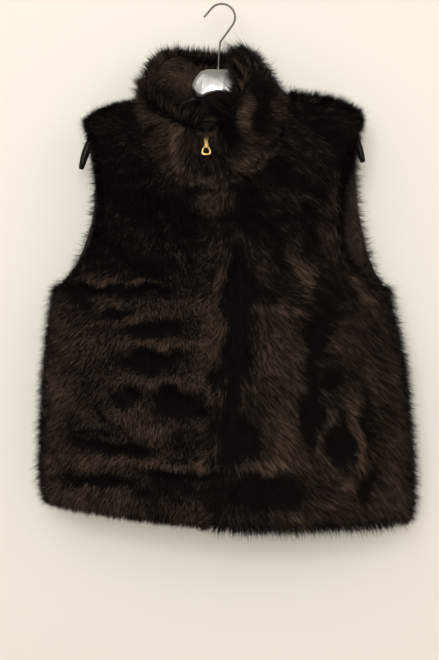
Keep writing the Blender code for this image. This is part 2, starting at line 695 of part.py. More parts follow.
def mirrored(rows, centre, top):
    """A closed outline from half widths at drops below the top."""
    right = [(centre + row.half_width, top - row.drop) for row in rows]
    return right + [(2 * centre - x, z) for x, z in reversed(right)]


pull = slab(
    "zip_pull",
    mirrored(PULL_OUTLINE, CENTRE_FRONT, SLIDER_HEIGHT),
    axis_y - PULL_THICK / 2,
    axis_y + PULL_THICK / 2,
    gilt,
)
for number, window in enumerate((BAIL_WINDOW, PULL_WINDOW)):
    hole = mirrored(window, CENTRE_FRONT, SLIDER_HEIGHT)
    cut(pull, slab("window_tool_%d" % number, hole, axis_y - PULL_THICK, axis_y + PULL_THICK, gilt))

# Hanger's centre plate
half = [(PLATE_AXIS + row.reach, row.height) for row in PLATE_OUTLINE]
outline = half + [(2 * PLATE_AXIS - x, z) for x, z in reversed(half[1:-1])]
slab("hanger_plate", outline, -PLATE_HALF_DEPTH, PLATE_HALF_DEPTH, silver, rounding=PLATE_ROUND, steps=3)

# Hanger's arms under the shoulders, ending in the plate's flanks
grown = [(PLATE_AXIS + row.reach + 0.0004, row.height) for row in PLATE_OUTLINE[1:-1]]
grown = [(x, z + (0.0004 if z > -0.12 else -0.0004)) for x, z in grown]
grown += [(2 * PLATE_AXIS - x, z) for x, z in reversed(grown)]
socket = slab("plate_tool", grown, -0.03, 0.03, silver)
for side, name in ((-1, "hanger_arm_left"), (1, "hanger_arm_right")):
    reach = np.concatenate([np.linspace(ARM_START, 0.165, 10), np.linspace(0.175, 0.2105, 12)])
    top = np.stack([side * reach, np.zeros(len(reach)), hanger_top(side * reach)], axis=1)
    heading = unit(np.gradient(top, axis=0))
    inward = np.stack([heading[:, 2], np.zeros(len(reach)), -heading[:, 0]], axis=1) * side
    path = top + inward * ARM_RADIUS
    radii = np.ones(len(reach))
    radii[-3:] = (0.97, 0.88, 0.62)
    arm = swept(name, path, radii, ARM_RADIUS, plastic, roundness=3)
    arm.data.transform(((1, 0, 0, 0), (0, ARM_DEPTH, 0, 0), (0, 0, 1, 0), (0, 0, 0, 1)))
    cut(arm, socket)

# Hanger's hook: a tip, the crown's arc, a leaning length and the stem
crown = HOOK_WIRE - HOOK_RADIUS
turns = [math.radians(a) for a in np.linspace(HOOK_ARC[1], HOOK_ARC[0], 20)]
arc = [(HOOK_ACROSS + HOOK_RADIUS * math.cos(a), 0, crown + HOOK_RADIUS * math.sin(a)) for a in turns]
start = turns[0]
tip = [
    (arc[0][0] - HOOK_TIP * t * math.sin(start), 0, arc[0][2] + HOOK_TIP * t * math.cos(start))
    for t in (1, 0.67, 0.33)
]
end = turns[-1]
leaning = [
    (arc[-1][0] + HOOK_LEAN * t * math.sin(end), 0, arc[-1][2] - HOOK_LEAN * t * math.cos(end))
    for t in (0.25, 0.5, 0.75, 0.9, 0.97)
]
foot = PLATE_OUTLINE[0].height + LAID
bend = leaning[-1]
stem = [
    (PLATE_AXIS + (bend[0] - PLATE_AXIS) * (1 - t) ** 2.5, 0, bend[2] + (foot - bend[2]) * t)
    for t in (0.06, 0.14, 0.24, 0.38, 0.6, 0.8, 1)
]
wire = tip + arc + leaning + stem
hook = swept("hanger_hook", wire, [1] * len(wire), HOOK_WIRE, steel)
collar_of_wire = [(PLATE_AXIS, 0, foot), (PLATE_AXIS, 0, foot + FERRULE[1])]
cut(hook, swept("ferrule_tool", collar_of_wire, (1, 1), FERRULE[0], steel), "UNION")
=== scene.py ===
"""Looks of the fur body warmer on its hanger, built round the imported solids, in metres."""

import math
from collections import namedtuple

import bpy
import numpy as np
from mathutils.kdtree import KDTree
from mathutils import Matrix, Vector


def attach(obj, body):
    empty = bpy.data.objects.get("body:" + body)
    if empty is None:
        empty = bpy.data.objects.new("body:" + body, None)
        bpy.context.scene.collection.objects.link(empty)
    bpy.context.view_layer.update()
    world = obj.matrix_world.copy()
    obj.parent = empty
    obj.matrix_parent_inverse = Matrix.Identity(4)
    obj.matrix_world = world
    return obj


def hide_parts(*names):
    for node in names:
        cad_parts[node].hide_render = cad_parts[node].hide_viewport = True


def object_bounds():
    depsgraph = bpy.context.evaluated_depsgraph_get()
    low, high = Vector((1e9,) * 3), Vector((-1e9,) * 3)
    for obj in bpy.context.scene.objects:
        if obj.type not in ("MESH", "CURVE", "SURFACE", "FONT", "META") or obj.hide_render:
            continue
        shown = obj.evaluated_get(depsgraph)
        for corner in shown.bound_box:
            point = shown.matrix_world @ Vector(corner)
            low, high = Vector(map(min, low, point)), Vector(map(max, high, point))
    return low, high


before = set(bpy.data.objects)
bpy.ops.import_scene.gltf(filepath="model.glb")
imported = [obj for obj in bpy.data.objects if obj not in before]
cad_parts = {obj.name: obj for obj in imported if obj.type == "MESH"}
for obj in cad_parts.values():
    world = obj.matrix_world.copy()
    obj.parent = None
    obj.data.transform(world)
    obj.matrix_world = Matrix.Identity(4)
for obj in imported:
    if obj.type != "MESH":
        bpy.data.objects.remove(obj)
solid_low, solid_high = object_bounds()

# Camera: level and square to the wall, about two steps away from the garment.
# The lens takes in the whole garment with a strip of wall all round.
CAMERA_PLACE = (-0.0036, -1.600, -0.4713)
CAMERA_LENS = 60.2
UPRIGHT = (math.radians(90), 0, 0)

bpy.ops.object.select_all(action="DESELECT")
bpy.ops.object.camera_add(location=CAMERA_PLACE, rotation=UPRIGHT)
camera = bpy.context.object
camera.data.lens = CAMERA_LENS
bpy.context.scene.camera = camera
bpy.context.scene.view_settings.view_transform = "Standard"

# Wall: painted plaster a hand's breadth behind the hanger, plain and cream.
# It shows from its painted side only and lets the lamps behind it through,
# so that the garment's back can be looked at too.
WALL_PLACE = (0, 0.075, -0.5)
WALL_WIDTH = 6.0
WALL_CREAM = (0.80, 0.745, 0.670, 1)


def paint(name, colour, roughness):
    """A material with one Principled shader, its colour and its roughness."""
    material = bpy.data.materials.new(name)
    material.use_nodes = True
    shader = material.node_tree.nodes["Principled BSDF"]
    shader.inputs["Base Color"].default_value = colour
    shader.inputs["Roughness"].default_value = roughness
    return material, material.node_tree, shader


bpy.ops.object.select_all(action="DESELECT")
bpy.ops.mesh.primitive_plane_add(size=WALL_WIDTH, location=WALL_PLACE, rotation=UPRIGHT)
wall = bpy.context.object
wall.name = "wall"
plaster, tree, shader = paint("plaster", WALL_CREAM, roughness=0.9)
geometry = tree.nodes.new("ShaderNodeNewGeometry")
path = tree.nodes.new("ShaderNodeLightPath")
open_side = tree.nodes.new("ShaderNodeMath")
open_side.operation = "MAXIMUM"
clear = tree.nodes.new("ShaderNodeBsdfTransparent")
either = tree.nodes.new("ShaderNodeMixShader")
tree.links.new(geometry.outputs["Backfacing"], open_side.inputs[0])
tree.links.new(path.outputs["Is Shadow Ray"], open_side.inputs[1])
tree.links.new(open_side.outputs["Value"], either.inputs["Fac"])
tree.links.new(shader.outputs["BSDF"], either.inputs[1])
tree.links.new(clear.outputs["BSDF"], either.inputs[2])
tree.links.new(either.outputs["Shader"], tree.nodes["Material Output"].inputs["Surface"])
wall.data.materials.append(plaster)

# Light: a large soft lamp from the front, a smaller one high on the left, a weak one on the right,
# one behind for the back, and a pale room all round.
Lamp = namedtuple("Lamp", "name place aim size power colour")
LAMPS = (
    Lamp("front", (-0.25, -3.00, 0.05), (0.0, 0.0, -0.35), 1.4, 56, (0.96, 0.99, 1.0)),
    Lamp("key", (-0.40, -1.50, 0.45), (0.0, 0.0, -0.35), 1.2, 5, (0.95, 0.98, 1.0)),
    Lamp("fill", (1.30, -1.90, 0.30), (0.0, 0.0, -0.35), 1.2, 6, (1.0, 0.98, 0.95)),
    Lamp("behind", (0.50, 1.90, 0.60), (0.0, 0.0, -0.45), 1.2, 42, (1.0, 0.97, 0.93)),
)
ROOM_COLOUR = (1.0, 0.93, 0.86, 1)
ROOM_STRENGTH = 0.52

for lamp in LAMPS:
    bpy.ops.object.light_add(type="AREA", location=lamp.place)
    light = bpy.context.object
    light.name = lamp.name
    light.data.size = lamp.size
    light.data.energy = lamp.power
    light.data.color = lamp.colour
    towards = [aim - place for aim, place in zip(lamp.aim, lamp.place)]
    level_distance = math.hypot(towards[0], towards[1])
    tilt = math.atan2(level_distance, -towards[2])
    light.rotation_euler = (tilt, 0, math.atan2(-towards[0], towards[1]))
room = bpy.data.worlds.new("room")
room.use_nodes = True
room.node_tree.nodes["Background"].inputs["Color"].default_value = ROOM_COLOUR
room.node_tree.nodes["Background"].inputs["Strength"].default_value = ROOM_STRENGTH
bpy.context.scene.world = room

# Hook: bright drawn wire bent to hang on a rail, its foot set in a ferrule on the centre plate.
# Fine scratches run along the wire.
WIRE_GREY = (0.13, 0.11, 0.092, 1)
MERGED = 0.00001
FLAT_WITHIN = math.radians(2)
ROUNDED_FROM = math.radians(30)
ROUNDED_STEPS = 3
SHARP_FROM = math.radians(50)


def subdivide(piece, levels):
    """Smooth the active piece by subdivision."""
    smoothing = piece.modifiers.new("smoothing", "SUBSURF")
    smoothing.levels = levels
    smoothing.render_levels = levels
    bpy.ops.object.modifier_apply(modifier=smoothing.name)


def finer_copy(node, name, levels=0, bevel=0.0, keep_edges=False):
    """The solid's own form as a new piece: merged, its edges rounded or kept, and subdivided."""
    bpy.ops.object.select_all(action="DESELECT")
    piece = bpy.data.objects.new(name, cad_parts[node].data.copy())
    piece.data.materials.clear()
    bpy.context.scene.collection.objects.link(piece)
    piece.select_set(True)
    bpy.context.view_layer.objects.active = piece
    bpy.ops.object.mode_set(mode="EDIT")
    bpy.ops.mesh.select_all(action="SELECT")
    bpy.ops.mesh.remove_doubles(threshold=MERGED)
    if bevel:
        bpy.ops.mesh.dissolve_limited(angle_limit=FLAT_WITHIN)
    if keep_edges:
        bpy.ops.mesh.select_all(action="DESELECT")
        bpy.ops.mesh.edges_select_sharp(sharpness=SHARP_FROM)
        bpy.ops.transform.edge_crease(value=1)
    bpy.ops.object.mode_set(mode="OBJECT")
    if bevel:
        rounding = piece.modifiers.new("rounding", "BEVEL")
        rounding.width = bevel
        rounding.segments = ROUNDED_STEPS
        rounding.limit_method = "ANGLE"
        rounding.angle_limit = ROUNDED_FROM
        bpy.ops.object.modifier_apply(modifier=rounding.name)
    if levels:
        subdivide(piece, levels)
    bpy.ops.object.shade_smooth_by_angle(angle=SHARP_FROM)
    return piece


def grain(tree, shader, scale, detail, strength, distance, stretch=(1, 1, 1)):
    """Fine relief on a shader, from noise stretched along an axis of the object."""
    place = tree.nodes.new("ShaderNodeTexCoord")
    mapping = tree.nodes.new("ShaderNodeMapping")
    mapping.inputs["Scale"].default_value = stretch
    noise = tree.nodes.new("ShaderNodeTexNoise")
    noise.inputs["Scale"].default_value = scale
    noise.inputs["Detail"].default_value = detail
    bump = tree.nodes.new("ShaderNodeBump")
    bump.inputs["Strength"].default_value = strength
    bump.inputs["Distance"].default_value = distance
    tree.links.new(place.outputs["Object"], mapping.inputs["Vector"])
    tree.links.new(mapping.outputs["Vector"], noise.inputs["Vector"])
    tree.links.new(noise.outputs["Fac"], bump.inputs["Height"])
    tree.links.new(bump.outputs["Normal"], shader.inputs["Normal"])


hook = finer_copy("hanger_hook", "hook", levels=1)
wire, tree, shader = paint("drawn_wire", WIRE_GREY, roughness=0.28)
shader.inputs["Metallic"].default_value = 1
grain(tree, shader, scale=900, detail=3, strength=0.15, distance=0.0003, stretch=(1, 1, 0.15))
hook.data.materials.append(wire)
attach(hook, "garment")
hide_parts("hanger_hook")

# Centre plate: a moulded cover with a bright silver coat that clips over the arms' inner ends.
# Its face is plain and crowned, fullest below its middle.
SILVER = (0.42, 0.405, 0.38, 1)
PLATE_STEP = 0.0010
PLATE_EASE = 0.5
PLATE_EASE_ROUNDS = 5
PLATE_CROWN = 0.0085
PLATE_FULLEST = 0.5
CROWN_FADE = 2


def points_of(mesh):
    """Places and normals of a mesh's vertices as arrays."""
    places = np.empty(len(mesh.vertices) * 3)
    mesh.vertices.foreach_get("co", places)
    facings = np.empty(len(mesh.vertices) * 3)
    mesh.vertices.foreach_get("normal", facings)
    return places.reshape(-1, 3), facings.reshape(-1, 3)


def move_points(mesh, places):
    """Put a mesh's vertices at new places."""
    mesh.vertices.foreach_set("co", places.ravel())
    mesh.update()


plate = finer_copy("hanger_plate", "centre_plate")
even = plate.modifiers.new("even", "REMESH")
even.mode = "VOXEL"
even.voxel_size = PLATE_STEP
bpy.ops.object.modifier_apply(modifier=even.name)
ease = plate.modifiers.new("ease", "SMOOTH")
ease.factor = PLATE_EASE
ease.iterations = PLATE_EASE_ROUNDS
bpy.ops.object.modifier_apply(modifier=ease.name)
places, facings = points_of(plate.data)
middle = (places.min(axis=0) + places.max(axis=0)) / 2
share = (places - middle) / (places.max(axis=0) - middle)
upwards = (share[:, 2] + PLATE_FULLEST) / (1 + PLATE_FULLEST)
crown = PLATE_CROWN * (1 - share[:, 0] ** 2) * (1 - upwards**2)
places[:, 1] -= crown * np.clip(-CROWN_FADE * facings[:, 1], 0, 1)
move_points(plate.data, places)
bpy.ops.object.shade_smooth()
bright, tree, shader = paint("silver_coat", SILVER, roughness=0.28)
shader.inputs["Metallic"].default_value = 1
shader.inputs["Coat Weight"].default_value = 0.15
shader.inputs["Coat Roughness"].default_value = 0.10
grain(tree, shader, scale=130, detail=8, strength=0.50, distance=0.002, stretch=(1, 1, 0.5))
plate.data.materials.append(bright)
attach(plate, "garment")
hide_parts("hanger_plate")

# Arms: moulded plastic, near black, curved down to thin rounded tips that show in both armholes.
# The tips are thin enough to let some light through, so they are a little lighter.
ARM_NODES = ("hanger_arm_left", "hanger_arm_right")
ARM_LEVELS = 2
PLASTIC_BLACK = (0.003, 0.0024, 0.002, 1)
PLASTIC_TIP = (0.009, 0.0066, 0.0052, 1)
PLASTIC_GLEAM = (1.0, 0.82, 0.68, 1)
TIP_FROM = 0.13
TIP_TO = 0.19
TIP_FACE = 0.006
TIP_FACING = -0.85
TIP_ROUND = 0.0024

plastic, tree, shader = paint("black_plastic", PLASTIC_BLACK, roughness=0.16)
shader.inputs["Specular IOR Level"].default_value = 0.11
shader.inputs["Specular Tint"].default_value = PLASTIC_GLEAM
grain(tree, shader, scale=60, detail=3, strength=0.10, distance=0.0008)
place = tree.nodes.new("ShaderNodeTexCoord")
sides = tree.nodes.new("ShaderNodeSeparateXYZ")
reach = tree.nodes.new("ShaderNodeMath")
reach.operation = "ABSOLUTE"
tone = tree.nodes.new("ShaderNodeValToRGB")
tone.color_ramp.elements[0].position = TIP_FROM
tone.color_ramp.elements[0].color = PLASTIC_BLACK
tone.color_ramp.elements[1].position = TIP_TO
tone.color_ramp.elements[1].color = PLASTIC_TIP
tree.links.new(place.outputs["Object"], sides.inputs["Vector"])
tree.links.new(sides.outputs["X"], reach.inputs[0])
tree.links.new(reach.outputs["Value"], tone.inputs["Fac"])
tree.links.new(tone.outputs["Color"], shader.inputs["Base Color"])
for node in ARM_NODES:
    arm = finer_copy(node, node.replace("hanger_", ""))
    lowest = min(vertex.co.z for vertex in arm.data.vertices)
    bpy.ops.object.mode_set(mode="EDIT")
    bpy.ops.mesh.select_all(action="DESELECT")
    bpy.ops.object.mode_set(mode="OBJECT")
    for face in arm.data.polygons:
        face.select = face.normal.z < TIP_FACING and face.center.z < lowest + TIP_FACE
    bpy.ops.object.mode_set(mode="EDIT")
    bpy.ops.mesh.region_to_loop()
    bpy.ops.mesh.bevel(offset=TIP_ROUND, segments=ROUNDED_STEPS)
    bpy.ops.object.mode_set(mode="OBJECT")
    subdivide(arm, ARM_LEVELS)
    bpy.ops.object.shade_smooth()
    arm.data.materials.append(plastic)
    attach(arm, "garment")
    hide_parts(node)

# Lining: dark brown satin cut like the fur and sewn in at the armholes.
# It hangs in soft upright creases that wander a little from side to side.
SATIN_BROWN = (0.030, 0.0195, 0.0145, 1)
SATIN_GLEAM = (1.0, 0.75, 0.60, 1)
CREASE_DEPTH = 0.0009
CREASE_SPACING = 0.021
CREASE_WANDER = 0.012
WANDER_RATE = 19
SECOND_CREASE = 0.6
SECOND_RATE = 0.85
CREASE_FACING = 0.3
Cut = namedtuple("Cut", "node width length area")
LINING_CUTS = (
    Cut("lining_front_left", 0.230, 0.575, 0.102),
    Cut("lining_front_right", 0.285, 0.580, 0.130),
    Cut("lining_back", 0.520, 0.575, 0.257),
)

satin, tree, shader = paint("satin", SATIN_BROWN, roughness=0.38)
shader.inputs["Specular IOR Level"].default_value = 0.06
shader.inputs["Specular Tint"].default_value = SATIN_GLEAM
shader.inputs["Sheen Weight"].default_value = 0.01
shader.inputs["Sheen Roughness"].default_value = 0.35
grain(tree, shader, scale=1500, detail=2, strength=0.12, distance=0.0002, stretch=(1, 1, 0.2))
for cut in LINING_CUTS:
    sheet = finer_copy(cut.node, cut.node.replace("lining", "satin"), levels=2)
    places, facings = points_of(sheet.data)
    across = places[:, 0] + CREASE_WANDER * np.sin(places[:, 2] * WANDER_RATE)
    turn = across * 2 * math.pi / CREASE_SPACING
    crease = np.sin(turn) + SECOND_CREASE * np.sin(turn * SECOND_RATE + 1)
    inward = np.zeros_like(places)
    inward[:, 1] = 1 if "front" in cut.node else -1
    inward *= (np.abs(facings[:, 1]) > CREASE_FACING)[:, None]
    places += inward * (CREASE_DEPTH * np.clip(crease, 0, None))[:, None]
    move_points(sheet.data, places)
    sheet.data.materials.append(satin)
    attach(sheet, "garment")
    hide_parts(cut.node)

# Hides: the knitted backing with its dense short underfur, one for each fur panel and for both sides
# of the collar. They keep the form of the solids, a little inside their outer face, which the long
# pile reaches.
UNDERFUR = 0.0045
UNDERFUR_FADE = 4
HIDE_BLACK = (0.0036, 0.0022, 0.0015, 1)
FUR_CUTS = (
    Cut("front_left", 0.260, 0.605, 0.122),
    Cut("front_right", 0.310, 0.620, 0.152),
    Cut("back", 0.545, 0.605, 0.279),
    Cut("collar_outer", 0.480, 0.125, 0.045),
    Cut("collar_inner", 0.400, 0.095, 0.028),
)
COLLAR_MIDDLE = (-0.030, -0.012)
COLLAR_TILT = 0.03
ZIP_LINE = -0.022
ZIP_OVERLAP = 0.030

# Way out of the body's face: flat from side to side, and tilted up by this much at each height
BODY_OUT = (0.3, 1, 0)
Tilt = namedtuple("Tilt", "height up")
TILTS = (
    Tilt(-0.70, -0.02),
    Tilt(-0.45, 0),
    Tilt(-0.25, 0.02),
    Tilt(-0.17, 0.05),
)


def read(rows, column, at):
    """A column of a table, read between its rows at points of the table's first column."""
    return np.interp(at, [row[0] for row in rows], [getattr(row, column) for row in rows])


def outwards(node, places):
    """For each point, the way out of the fur's face: from the body's middle, or from the neck's."""
    if node.startswith("collar"):
        way = places - (*COLLAR_MIDDLE, 0)
        way = way * (-1 if node == "collar_inner" else 1)
        way[:, 2] = COLLAR_TILT
        return way
    way = places * BODY_OUT
    way[:, 2] = read(TILTS, "up", places[:, 2])
    return way


def facing_out(node, places, facings):
    """How far each facing agrees with the way out, from -1 to 1."""
    way = outwards(node, places)
    return np.sum(facings * way, axis=1) / np.linalg.norm(way, axis=1)


underfur, tree, shader = paint("underfur", HIDE_BLACK, roughness=0.8)
shader.inputs["Specular IOR Level"].default_value = 0.03
grain(tree, shader, scale=420, detail=4, strength=0.8, distance=0.002)
hides = {}
for cut in FUR_CUTS:
    hide = finer_copy(cut.node, cut.node + "_hide", levels=1, keep_edges=True)
    places, facings = points_of(hide.data)
    outer = np.clip(facing_out(cut.node, places, facings) * UNDERFUR_FADE, 0, 1)
    sunk = facings * (UNDERFUR * outer)[:, None]
    sunk[np.abs(places[:, 0] - ZIP_LINE) < ZIP_OVERLAP, 0] = 0
    move_points(hide.data, places - sunk)
    hide.data.materials.append(underfur)
    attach(hide, "garment")
    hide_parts(cut.node)
    hides[cut.node] = hide

# Pile: fine dense guard hair, near black at the root and brown at the tip, standing on the left front and
# lying down and outwards elsewhere. Each hair is one tapered blade, rounded in its shading, and the blades
# of a panel are one mesh. A lift is in degrees out of the skin.
Coat = namedtuple("Coat", "node hairs length depth lift pull seed")
COATS = (
    Coat("front_left", 195000, 0.0140, 0.0080, 51, 0.12, 1),
    Coat("front_right", 195000, 0.0190, 0.0070, 24, 0.30, 2),
    Coat("back", 150000, 0.0190, 0.0070, 24, 0.30, 3),
    Coat("collar_outer", 140000, 0.0185, 0.0070, 27, 0.32, 4),
    Coat("collar_inner", 90000, 0.0175, 0.0055, 31, 0.32, 5),
)
OUTER_FROM = 0.12
REACH = (0.022, 0.011, 0.026)

# Hairs and locks: each varies in width, length, swing (in radians), lift and shade
HAIR_HALF = 0.00015
HAIR_WIDTHS = (0.7, 1.3)
HAIR_LENGTHS = (0.75, 1.2)
HAIR_SWING = 0.16
HAIR_LIFT = 8
HAIR_ROLL = 0.5
HAIR_SHADE = (-0.22, 0.72)
HAIR_DROOP = 0.05
ROOT_SHADE = 0.08
SHADE_MOST = 2
LOCK_HAIRS = 9
LOCK_LENGTHS = (0.85, 1.1)
LOCK_SWING = 0.15
LOCK_LIFT = 5
LOCK_SHADES = (0.8, 1.2)
LOCK_SPREAD = 0.3

# Wisps: a few longer and broader hairs that stand out of the pile, more of them on edges, darkened by
# painted shade
WISPS = 0.025
EDGE_WISPS = 0.12
WISP_LIFT = 20
WISP_LENGTH = 1.35
WISP_WIDTH = 1.5
EDGE_WISP_WIDTH = 1.4
WISP_PAINTED_SHADE = 0.5
WISP_PULL = 0.05

# Cut edges: denser and shorter hair that stands up more and clings together in its locks, its tips darkened
# by painted shade.
# An edge begins where the skin faces less to the front or back, and the collar's rim where it faces up.
EDGE_FACING = (0.75, 0.40)
RIM_FACING = (0.25, 0.75)
EDGE_LIFT = 40
EDGE_DENSITY = 4.0
EDGE_LOCKS = 0.6
EDGE_PULL = 0.22
EDGE_WIDTH = 0.7
EDGE_SHORT = 0.12
EDGE_PAINTED_SHADE = 0.45
COLLAR_EDGE_PAINTED_SHADE = 0.20

# Zip: hair of both sides closes over it, and the collar's hair falls over the pull's stem
ZIP_COVER = 0.014
COLLAR_COVER = 0.026
ZIP_CLOSE = 0.8
PULL_HEAD = -0.200
PULL_COVER = (0.014, 0.008)
PULL_FULL = 1.5
PULL_LIFT = 20
PULL_CLOSE = 0.6
PULL_LONGER = 0.55

# Side seams: hair of front and back crosses over them, below the armholes
SIDE_COVER = 0.016
SIDE_FULL = 1.3
SIDE_FROM = 0.15
SIDE_HEM = -0.5
SIDE_EDGE = 0.5
SIDE_CLOSE = 0.7
SEAM_LIFTS = (5, 16)
SEAM_LENGTHS = (-0.1, 0.4)
UNDERARM = -0.39

# Turning: at the armholes the back's fur is folded in over the lining's edge
TURNING = 0.013
TURNED_FROM = 0.5
TURNED_SHARE = 0.6
TURNED_LIFT = 14
TURNED_OVER = 0.006
ARMHOLE_TOP = -0.17
CAST_FROM = -0.1

# Collar's rim, by the plate, by the left arm and elsewhere: share of its hair that falls in over the neck,
# how much longer that hair is, and how much of an edge's lift it has
Rim = namedtuple("Rim", "inwards longer lift")
RIMS = (
    Rim(1, 0.6, 0.1),
    Rim(0.85, 0.6, 0.6),
    Rim(0.5, 0.15, 1),
)
RIM_FALL = 2
RIM_PLATE_DEPTH = 0.01
RIM_PLATE_WAY = (-0.8, -0.9, 0.1)
RIM_ARM_PLACE = -0.07
RIM_ARM_HALF = 0.03

# Way the pile lies on the body, in degrees from straight down towards +X, at each distance across
Nap = namedtuple("Nap", "across lean")
NAPS = (
    Nap(-0.260, -32),
    Nap(-0.200, -13),
    Nap(-0.110, -3),
    Nap(-0.030, 4),
    Nap(-0.0225, 8),
    Nap(-0.0215, -40),
    Nap(-0.004, -30),
    Nap(0.012, 4),
    Nap(0.040, 26),
    Nap(0.070, 44),
    Nap(0.140, 46),
    Nap(0.210, 40),
    Nap(0.265, 44),
)
NAP_STRAY = 12
NAP_SPACING = 0.09
NAP_SEED = 13
BACK_LEAN = 0.5
ARMHOLE_FROM = 0.13
ARMHOLE_FADE = (0.03, 0.02)
ARMHOLE_STRAIGHT = 0.8
SHOULDER_FROM = -0.24
SHOULDER_FADE = 0.06
SHOULDER_DOWN = 0.5

# Way the pile lies on the collar: down at the front, swept round its sides, and down again behind
SWEEP_FROM = math.radians(55)
SWEEP_END = math.radians(60)
SWEEP_MOST = 0.9
SWEEP_DOWN = 1.15
SWEEP_OUT = 0.35

# Painted light on the fronts' tips by height: painted sheen strongest low down and least on the upper chest
# below the collar.
# Patches on it are painted sheen where the pile lies to the light (above 0) and painted shade where it
# parts in a fold (below 0), and they also raise or sink the skin. Columns: each patch's middle, lean from
# level in degrees, half length, half width and gain
Level = namedtuple("Level", "height left right")
PAINTED_SHEEN_BY_HEIGHT = (
    Level(-0.750, 0.68, 0.53),
    Level(-0.600, 0.82, 0.53),
    Level(-0.450, 0.80, 0.48),
    Level(-0.390, 0.36, 0.36),
    Level(-0.330, 0.18, 0.20),
    Level(-0.260, 0.14, 0.18),
    Level(-0.200, 0.26, 0.26),
    Level(-0.140, 0.45, 0.45),
)
Patch = namedtuple("Patch", "across height lean length width gain")
PATCHES = (
    Patch(-0.170, -0.405, -4, 0.024, 0.006, 0.55),
    Patch(-0.107, -0.409, -3, 0.022, 0.004, 0.65),
    Patch(-0.149, -0.417, -1, 0.075, 0.006, -0.50),
    Patch(-0.164, -0.434, -8, 0.022, 0.008, 0.35),
    Patch(-0.151, -0.449, 14, 0.017, 0.009, -0.55),
    Patch(-0.128, -0.459, 28, 0.030, 0.008, 0.35),
    Patch(-0.066, -0.440, -6, 0.042, 0.009, 0.26),
    Patch(-0.090, -0.471, 2, 0.040, 0.010, -0.60),
    Patch(-0.084, -0.491, -2, 0.055, 0.007, 0.55),
    Patch(-0.105, -0.516, 3, 0.056, 0.014, -0.60),
    Patch(-0.084, -0.545, 0, 0.058, 0.008, 0.50),
    Patch(-0.134, -0.567, -3, 0.022, 0.009, -0.50),
    Patch(-0.062, -0.577, -8, 0.036, 0.022, -0.60),
    Patch(-0.128, -0.589, 6, 0.034, 0.010, 0.35),
    Patch(-0.112, -0.613, -6, 0.028, 0.010, 0.42),
    Patch(-0.164, -0.594, -52, 0.022, 0.0025, -0.60),
    Patch(-0.180, -0.617, -1, 0.038, 0.003, -0.60),
    Patch(-0.148, -0.638, -7, 0.052, 0.009, -0.60),
    Patch(-0.082, -0.660, -9, 0.060, 0.008, 0.45),
    Patch(-0.178, -0.660, -3, 0.052, 0.008, 0.26),
    Patch(-0.080, -0.671, -6, 0.064, 0.005, -0.60),
    Patch(-0.176, -0.682, -1, 0.052, 0.008, -0.55),
    Patch(-0.075, -0.692, 0, 0.048, 0.018, -0.40),
    Patch(-0.188, -0.702, -2, 0.046, 0.010, 0.20),
    Patch(-0.011, -0.470, 90, 0.066, 0.010, 0.35),
    Patch(-0.011, -0.537, 15, 0.013, 0.010, -0.50),
    Patch(-0.011, -0.571, 90, 0.020, 0.010, 0.25),
    Patch(-0.012, -0.665, 90, 0.090, 0.010, -0.15),
    Patch(0.024, -0.455, 86, 0.075, 0.020, -0.55),
    Patch(0.013, -0.605, 90, 0.066, 0.012, -0.55),
    Patch(0.028, -0.624, 10, 0.022, 0.020, -0.50),
    Patch(0.072, -0.448, -3, 0.042, 0.008, 0.45),
    Patch(0.080, -0.530, 84, 0.074, 0.030, 0.20),
    Patch(0.094, -0.620, 82, 0.048, 0.020, 0.12),
    Patch(0.058, -0.665, 4, 0.044, 0.010, 0.45),
    Patch(0.066, -0.701, 1, 0.052, 0.021, -0.60),
    Patch(0.122, -0.400, 88, 0.026, 0.011, 0.40),
    Patch(0.126, -0.577, 88, 0.080, 0.010, -0.60),
    Patch(0.139, -0.476, 70, 0.030, 0.016, -0.30),
    Patch(0.157, -0.545, 20, 0.014, 0.014, -0.35),
    Patch(0.137, -0.625, 68, 0.040, 0.007, 0.45),
    Patch(0.168, -0.629, 84, 0.028, 0.014, -0.55),
    Patch(0.197, -0.626, 96, 0.050, 0.011, 0.40),
    Patch(0.208, -0.615, 94, 0.052, 0.006, -0.55),
    Patch(0.208, -0.698, 70, 0.024, 0.010, -0.50),
    Patch(0.207, -0.430, -54, 0.034, 0.009, 0.40),
    Patch(0.122, -0.329, -41, 0.037, 0.006, -0.35),
    Patch(-0.008, -0.293, 0, 0.028, 0.017, 0.50),
    Patch(0.178, -0.700, 55, 0.026, 0.009, 0.30),
    Patch(-0.098, -0.272, 0, 0.024, 0.016, 0.28),
    Patch(-0.070, -0.353, -67, 0.045, 0.006, 0.30),
    Patch(-0.003, -0.392, 90, 0.036, 0.012, 0.32),
    Patch(0.025, -0.342, -60, 0.014, 0.005, 0.22),
    Patch(0.109, -0.375, -70, 0.050, 0.012, 0.28),
    Patch(0.133, -0.296, -20, 0.042, 0.006, 0.28),
    Patch(0.150, -0.270, -45, 0.030, 0.016, 0.22),
    Patch(0.158, -0.322, 90, 0.042, 0.016, 0.24),
    Patch(0.087, -0.339, 80, 0.045, 0.014, -0.16),
    Patch(-0.045, -0.626, -4, 0.028, 0.016, -0.36),
    Patch(-0.060, -0.652, -4, 0.030, 0.006, -0.25),
)
